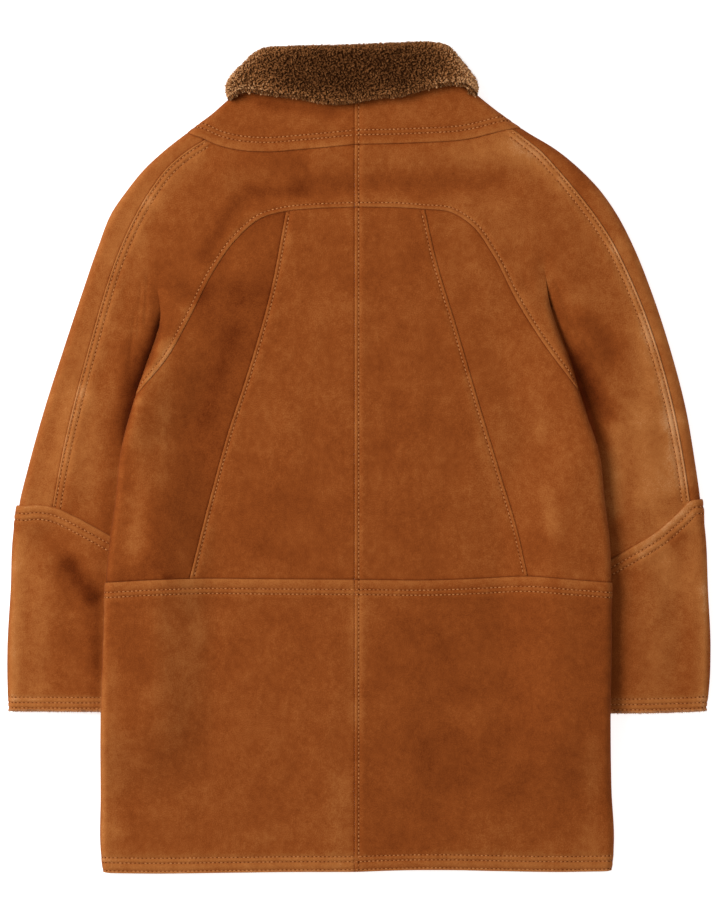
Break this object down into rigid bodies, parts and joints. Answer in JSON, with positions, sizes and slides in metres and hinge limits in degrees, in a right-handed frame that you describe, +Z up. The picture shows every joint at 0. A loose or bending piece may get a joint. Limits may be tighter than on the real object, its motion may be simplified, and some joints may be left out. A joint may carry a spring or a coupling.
{
  "type": "shearling coat laid flat",
  "caption": "Suede shearling coat with a turned-down fur collar, raglan-style panelled back and straight skirt, laid flat on its front with its back up.",
  "frame": {"origin": "middle of the coat's bounding box, on the plane it lies on", "axes": "+Z up from the surface, +Y from the hem to the collar, +X to the right of the coat seen from above with its back up"},
  "size_m": [0.7755, 0.9156, 0.0416],
  "materials": {
    "suede": "napped suede",
    "suede_strip": "napped suede, worn lighter",
    "fur": "short curly fur"
  },
  "bodies": {
    "root": {"neck_yoke_L": "suede", "upper_back_L": "suede", "centre_back_L": "suede", "side_back_L": "suede", "skirt_back_L": "suede", "forearm_back_L": "suede", "forearm_under_L": "suede", "sleeve_under_L": "suede", "front_L": "suede", "sleeve_strip_L": "suede_strip", "collar_front_L": "fur", "neck_yoke_R": "suede", "upper_back_R": "suede", "centre_back_R": "suede", "side_back_R": "suede", "skirt_back_R": "suede", "forearm_back_R": "suede", "forearm_under_R": "suede", "sleeve_under_R": "suede", "front_R": "suede", "sleeve_strip_R": "suede_strip", "collar_front_R": "fur", "collar_fall": "fur", "collar_stand": "fur"}
  },
  "joints": []
}
